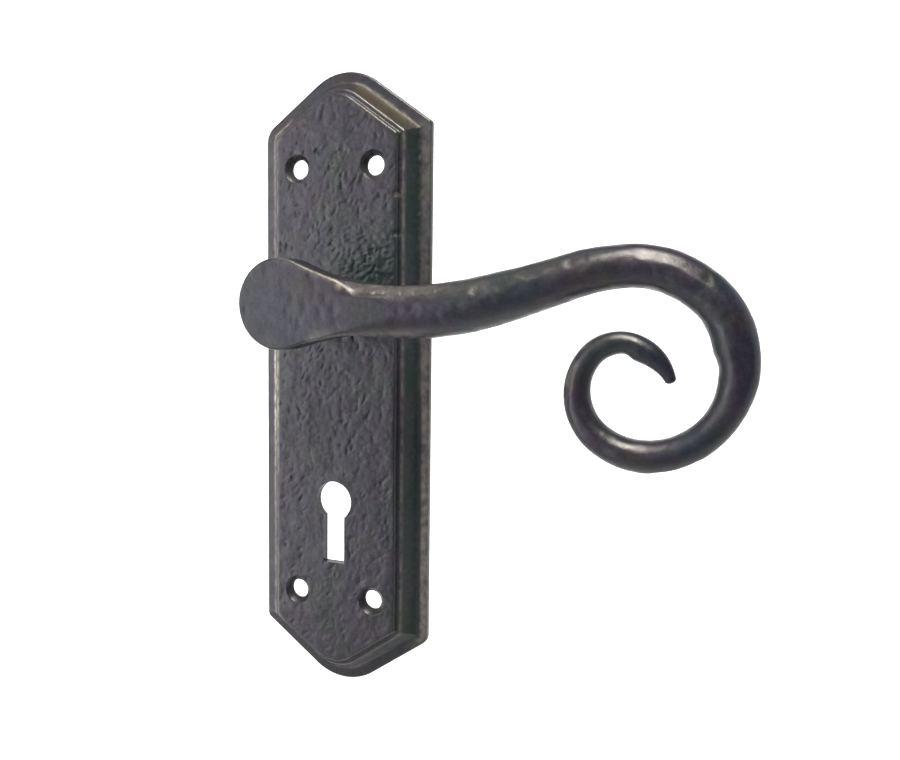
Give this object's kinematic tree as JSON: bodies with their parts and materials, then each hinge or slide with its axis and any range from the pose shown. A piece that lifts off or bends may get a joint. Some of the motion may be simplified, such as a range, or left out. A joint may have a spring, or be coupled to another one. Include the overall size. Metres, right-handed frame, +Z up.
{
  "type": "door lever handle",
  "caption": "Curled lever handle on a long pointed backplate with a keyhole, sprung from behind, with its square spindle.",
  "frame": {"origin": "where the spindle's axis meets the plane of the door's face, which is the back of the backplate's rim", "axes": "+X along the lever, away from the spindle; +Y into the door along the spindle; +Z up"},
  "size_m": [0.1427, 0.0921, 0.1793],
  "materials": {
    "plate_iron": "satin black, pitted",
    "lever_iron": "satin black, hammered",
    "nylon": "moulded black",
    "spring_steel": "oiled",
    "zinc_steel": "zinc plated",
    "screw_steel": "blackened",
    "spindle_steel": "drawn bar"
  },
  "bodies": {
    "backplate": {"backplate": "plate_iron", "neck_bush": "nylon", "front_washer": "nylon", "rest_stop_pin": "zinc_steel", "limit_stop_pin": "zinc_steel", "spring_anchor_pin": "zinc_steel", "spring_cover": "zinc_steel", "cover_screw_1": "screw_steel", "cover_screw_2": "screw_steel", "cover_screw_3": "screw_steel", "cover_screw_4": "screw_steel", "return_spring": "spring_steel"},
    "lever": {"lever": "lever_iron", "wave_washer": "spring_steel", "cam_plate": "zinc_steel", "circlip": "spring_steel", "spindle": "spindle_steel", "grub_screw": "screw_steel"}
  },
  "joints": [
    {"name": "lever_turn", "type": "hinge", "parent": "backplate", "child": "lever", "pos_m": [0, 0, 0], "axis": [0, 1, 0], "range_deg": [0, 45], "stiffness_Nm_per_rad": 0.185, "springref_deg": -37.24, "deforming": ["return_spring"]}
  ]
}
